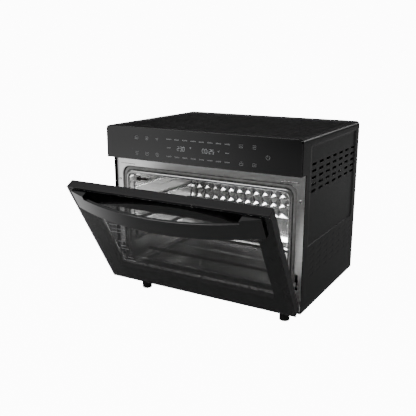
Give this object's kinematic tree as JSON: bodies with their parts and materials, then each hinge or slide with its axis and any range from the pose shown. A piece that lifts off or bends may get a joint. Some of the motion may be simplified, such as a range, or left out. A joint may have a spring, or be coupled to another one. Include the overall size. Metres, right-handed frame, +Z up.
{
  "type": "toaster oven",
  "caption": "Countertop toaster oven with a drop-down glass door on link-arm hinges, a bowed full-width handle, a touch control band, a top fan and ring heater, and lower heaters",
  "frame": {"origin": "middle of the footprint of the oven with its door at rest, on the surface the feet stand on", "axes": "+X to the oven's right as seen from the front, +Y to the back, +Z up; the door faces -Y"},
  "size_m": [0.48, 0.5384, 0.3945],
  "materials": {
    "black_paint": "matt black baked enamel with a fine texture",
    "panel_gloss": "gloss black glass touch panel",
    "satin_black": "satin black moulded plastic",
    "brushed_steel": "brushed stainless steel sheet",
    "bright_steel": "bright plated steel",
    "seal_rubber": "black rubber and silicone",
    "heater_sheath": "oxidised dark heater sheath",
    "clear_glass": "grey-tinted toughened glass with a black border",
    "ceramic": "unglazed ceramic",
    "circuit_board": "green circuit board",
    "aluminium": "pressed aluminium"
  },
  "bodies": {
    "cabinet": {"cabinet_wrap": "black_paint", "back_cover": "black_paint", "base_plate": "black_paint", "panel_glass": "panel_gloss", "panel_housing": "satin_black", "cord_gland": "satin_black", "display_module": "satin_black", "front_frame": "brushed_steel", "cavity_liner": "brushed_steel", "cavity_back": "brushed_steel", "shelf_guide_left": "brushed_steel", "shelf_guide_right": "brushed_steel", "fan_housing": "brushed_steel", "fan_guard": "brushed_steel", "fan_motor": "brushed_steel", "motor_bracket": "brushed_steel", "board_tray": "brushed_steel", "cavity_rail_left": "brushed_steel", "cavity_rail_right": "brushed_steel", "hinge_bracket_left": "brushed_steel", "hinge_bracket_right": "brushed_steel", "crumb_tray": "bright_steel", "hinge_roller_left": "bright_steel", "hinge_roller_right": "bright_steel", "cavity_gasket": "seal_rubber", "foot_front_left": "seal_rubber", "foot_front_right": "seal_rubber", "foot_rear_left": "seal_rubber", "foot_rear_right": "seal_rubber", "lower_heater_front": "heater_sheath", "lower_heater_rear": "heater_sheath", "ring_heater": "heater_sheath", "temperature_probe": "heater_sheath", "lamp_lens": "clear_glass", "heater_bush_front_left": "ceramic", "heater_bush_front_right": "ceramic", "heater_bush_rear_left": "ceramic", "heater_bush_rear_right": "ceramic", "lamp_holder": "ceramic", "power_board": "circuit_board", "control_board": "circuit_board"},
    "door": {"door_glass": "clear_glass", "door_frame": "satin_black", "door_back_pan": "brushed_steel", "door_inner_glass": "clear_glass", "door_top_trim": "satin_black", "handle": "satin_black", "handle_screw_left": "bright_steel", "handle_screw_right": "bright_steel", "pivot_pin_left": "bright_steel", "pivot_pin_right": "bright_steel", "arm_pin_left": "bright_steel", "arm_pin_right": "bright_steel"},
    "arm_left": {"hinge_arm_left": "bright_steel"},
    "arm_right": {"hinge_arm_right": "bright_steel"},
    "fan_rotor": {"convection_fan": "aluminium", "fan_shaft": "bright_steel", "cooling_fan": "satin_black"}
  },
  "joints": [
    {"name": "door_hinge", "type": "hinge", "parent": "cabinet", "child": "door", "pos_m": [0, -0.09182, 0.0355], "axis": [1, 0, 0], "range_deg": [-30, 50]},
    {"name": "arm_left_pivot", "type": "hinge", "parent": "door", "child": "arm_left", "pos_m": [-0.225, -0.12308, 0.09366], "axis": [1, 0, 0], "range_deg": [-21.6, 13]},
    {"name": "arm_right_pivot", "type": "hinge", "parent": "door", "child": "arm_right", "pos_m": [0.225, -0.12308, 0.09366], "axis": [1, 0, 0], "range_deg": [-21.6, 13]},
    {"name": "fan_spin", "type": "hinge", "parent": "cabinet", "child": "fan_rotor", "pos_m": [0, 0.08218, 0.3075], "axis": [0, 0, 1], "continuous": true}
  ],
  "couplings": [
    {"joint": "arm_left_pivot", "follows": "door_hinge", "ratio": -0.43},
    {"joint": "arm_right_pivot", "follows": "door_hinge", "ratio": -0.43}
  ]
}
